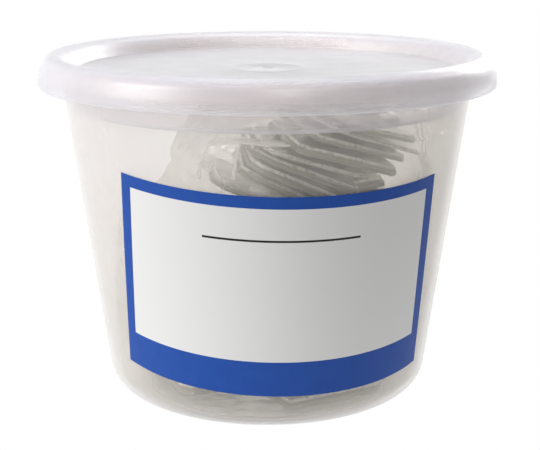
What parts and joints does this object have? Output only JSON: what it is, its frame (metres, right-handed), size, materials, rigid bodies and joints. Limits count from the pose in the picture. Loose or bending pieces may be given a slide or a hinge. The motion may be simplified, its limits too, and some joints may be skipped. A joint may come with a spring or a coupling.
{
  "type": "tub of mica crystals",
  "caption": "Round press-lidded translucent plastic tub with a blank blue-framed label, holding a clear bag of cleaved muscovite mica crystal plates.",
  "frame": {"origin": "centre of the tub's flat base, on the surface that it stands on", "axes": "+Z is the tub's axis, up through the lid; -Y is the front, where the label is"},
  "size_m": [0.12, 0.12, 0.0903],
  "materials": {
    "tub_plastic": "milky see-through polypropylene, injection moulded, satin",
    "lid_plastic": "milky see-through polyethylene, injection moulded, satin",
    "label_paper": "coated white paper printed with a plain blue frame and a blue foot band",
    "bag_film": "clear crinkled polyethylene film",
    "mica": "see-through olive-grey muscovite with pearly cleavage faces and silvery ragged edges"
  },
  "bodies": {
    "root": {"tub": "tub_plastic", "lid": "lid_plastic", "label": "label_paper", "bag": "bag_film", "mica_01": "mica", "mica_02": "mica", "mica_03": "mica", "mica_04": "mica", "mica_05": "mica", "mica_06": "mica", "mica_07": "mica", "mica_08": "mica", "mica_09": "mica", "mica_10": "mica", "mica_11": "mica", "mica_12": "mica", "mica_13": "mica", "mica_14": "mica", "mica_15": "mica", "mica_16": "mica", "mica_17": "mica", "mica_18": "mica", "mica_19": "mica", "mica_20": "mica", "mica_21": "mica", "mica_22": "mica", "mica_23": "mica", "mica_24": "mica", "mica_25": "mica", "mica_26": "mica", "mica_27": "mica", "mica_28": "mica", "mica_29": "mica", "mica_30": "mica", "mica_31": "mica", "mica_32": "mica", "mica_33": "mica", "mica_34": "mica", "mica_35": "mica", "mica_36": "mica", "mica_37": "mica", "mica_38": "mica", "mica_39": "mica", "mica_40": "mica", "mica_41": "mica", "mica_42": "mica", "mica_43": "mica", "mica_44": "mica", "mica_45": "mica", "mica_46": "mica", "mica_47": "mica", "mica_48": "mica", "mica_49": "mica", "mica_50": "mica"}
  },
  "joints": []
}
